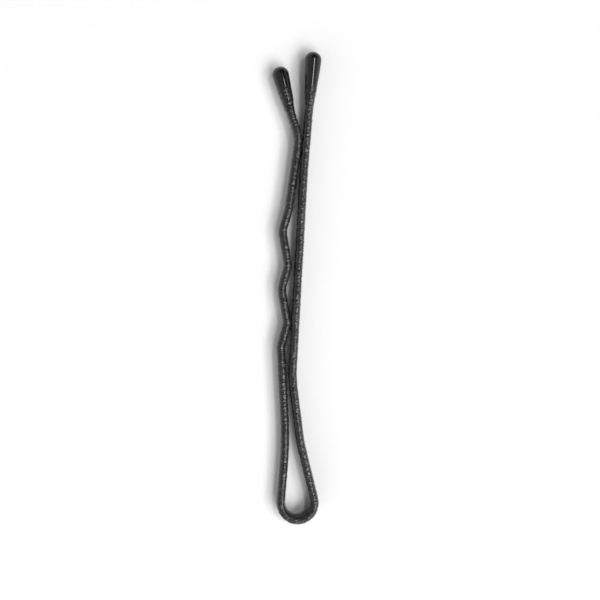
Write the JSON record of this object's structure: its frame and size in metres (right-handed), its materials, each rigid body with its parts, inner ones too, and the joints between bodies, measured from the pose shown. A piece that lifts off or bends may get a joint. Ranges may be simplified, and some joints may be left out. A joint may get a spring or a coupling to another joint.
{
  "type": "bobby pin",
  "caption": "Sprung steel hair grip: a flat strip bent double, one straight leg, one waved leg, black enamel and rounded resin tips.",
  "frame": {"origin": "centre of the round bend, halfway across the strip's width", "axes": "+Y from the bend towards the tips, +X towards the straight leg, +Z across the strip's width; the pin lies on its side in XY"},
  "size_m": [0.0053, 0.051, 0.002],
  "materials": {
    "steel": "cold-rolled spring steel",
    "enamel": "black baked enamel, semi-gloss, finely ribbed across",
    "resin": "black dipped resin, glossy"
  },
  "bodies": {
    "straight_leg": {"straight_leg_steel": "steel", "straight_leg_enamel": "enamel", "straight_leg_tip": "resin", "bend_steel": "steel", "bend_enamel": "enamel"},
    "waved_leg": {"waved_leg_steel": "steel", "waved_leg_enamel": "enamel", "waved_leg_tip": "resin"}
  },
  "joints": [
    {"name": "spring_open", "type": "hinge", "parent": "straight_leg", "child": "waved_leg", "pos_m": [0, 0, 0], "axis": [0, 0, 1], "range_deg": [0, 20], "stiffness_Nm_per_rad": 0.6, "springref_deg": -4.58, "deforming": ["bend_steel", "bend_enamel"]}
  ]
}
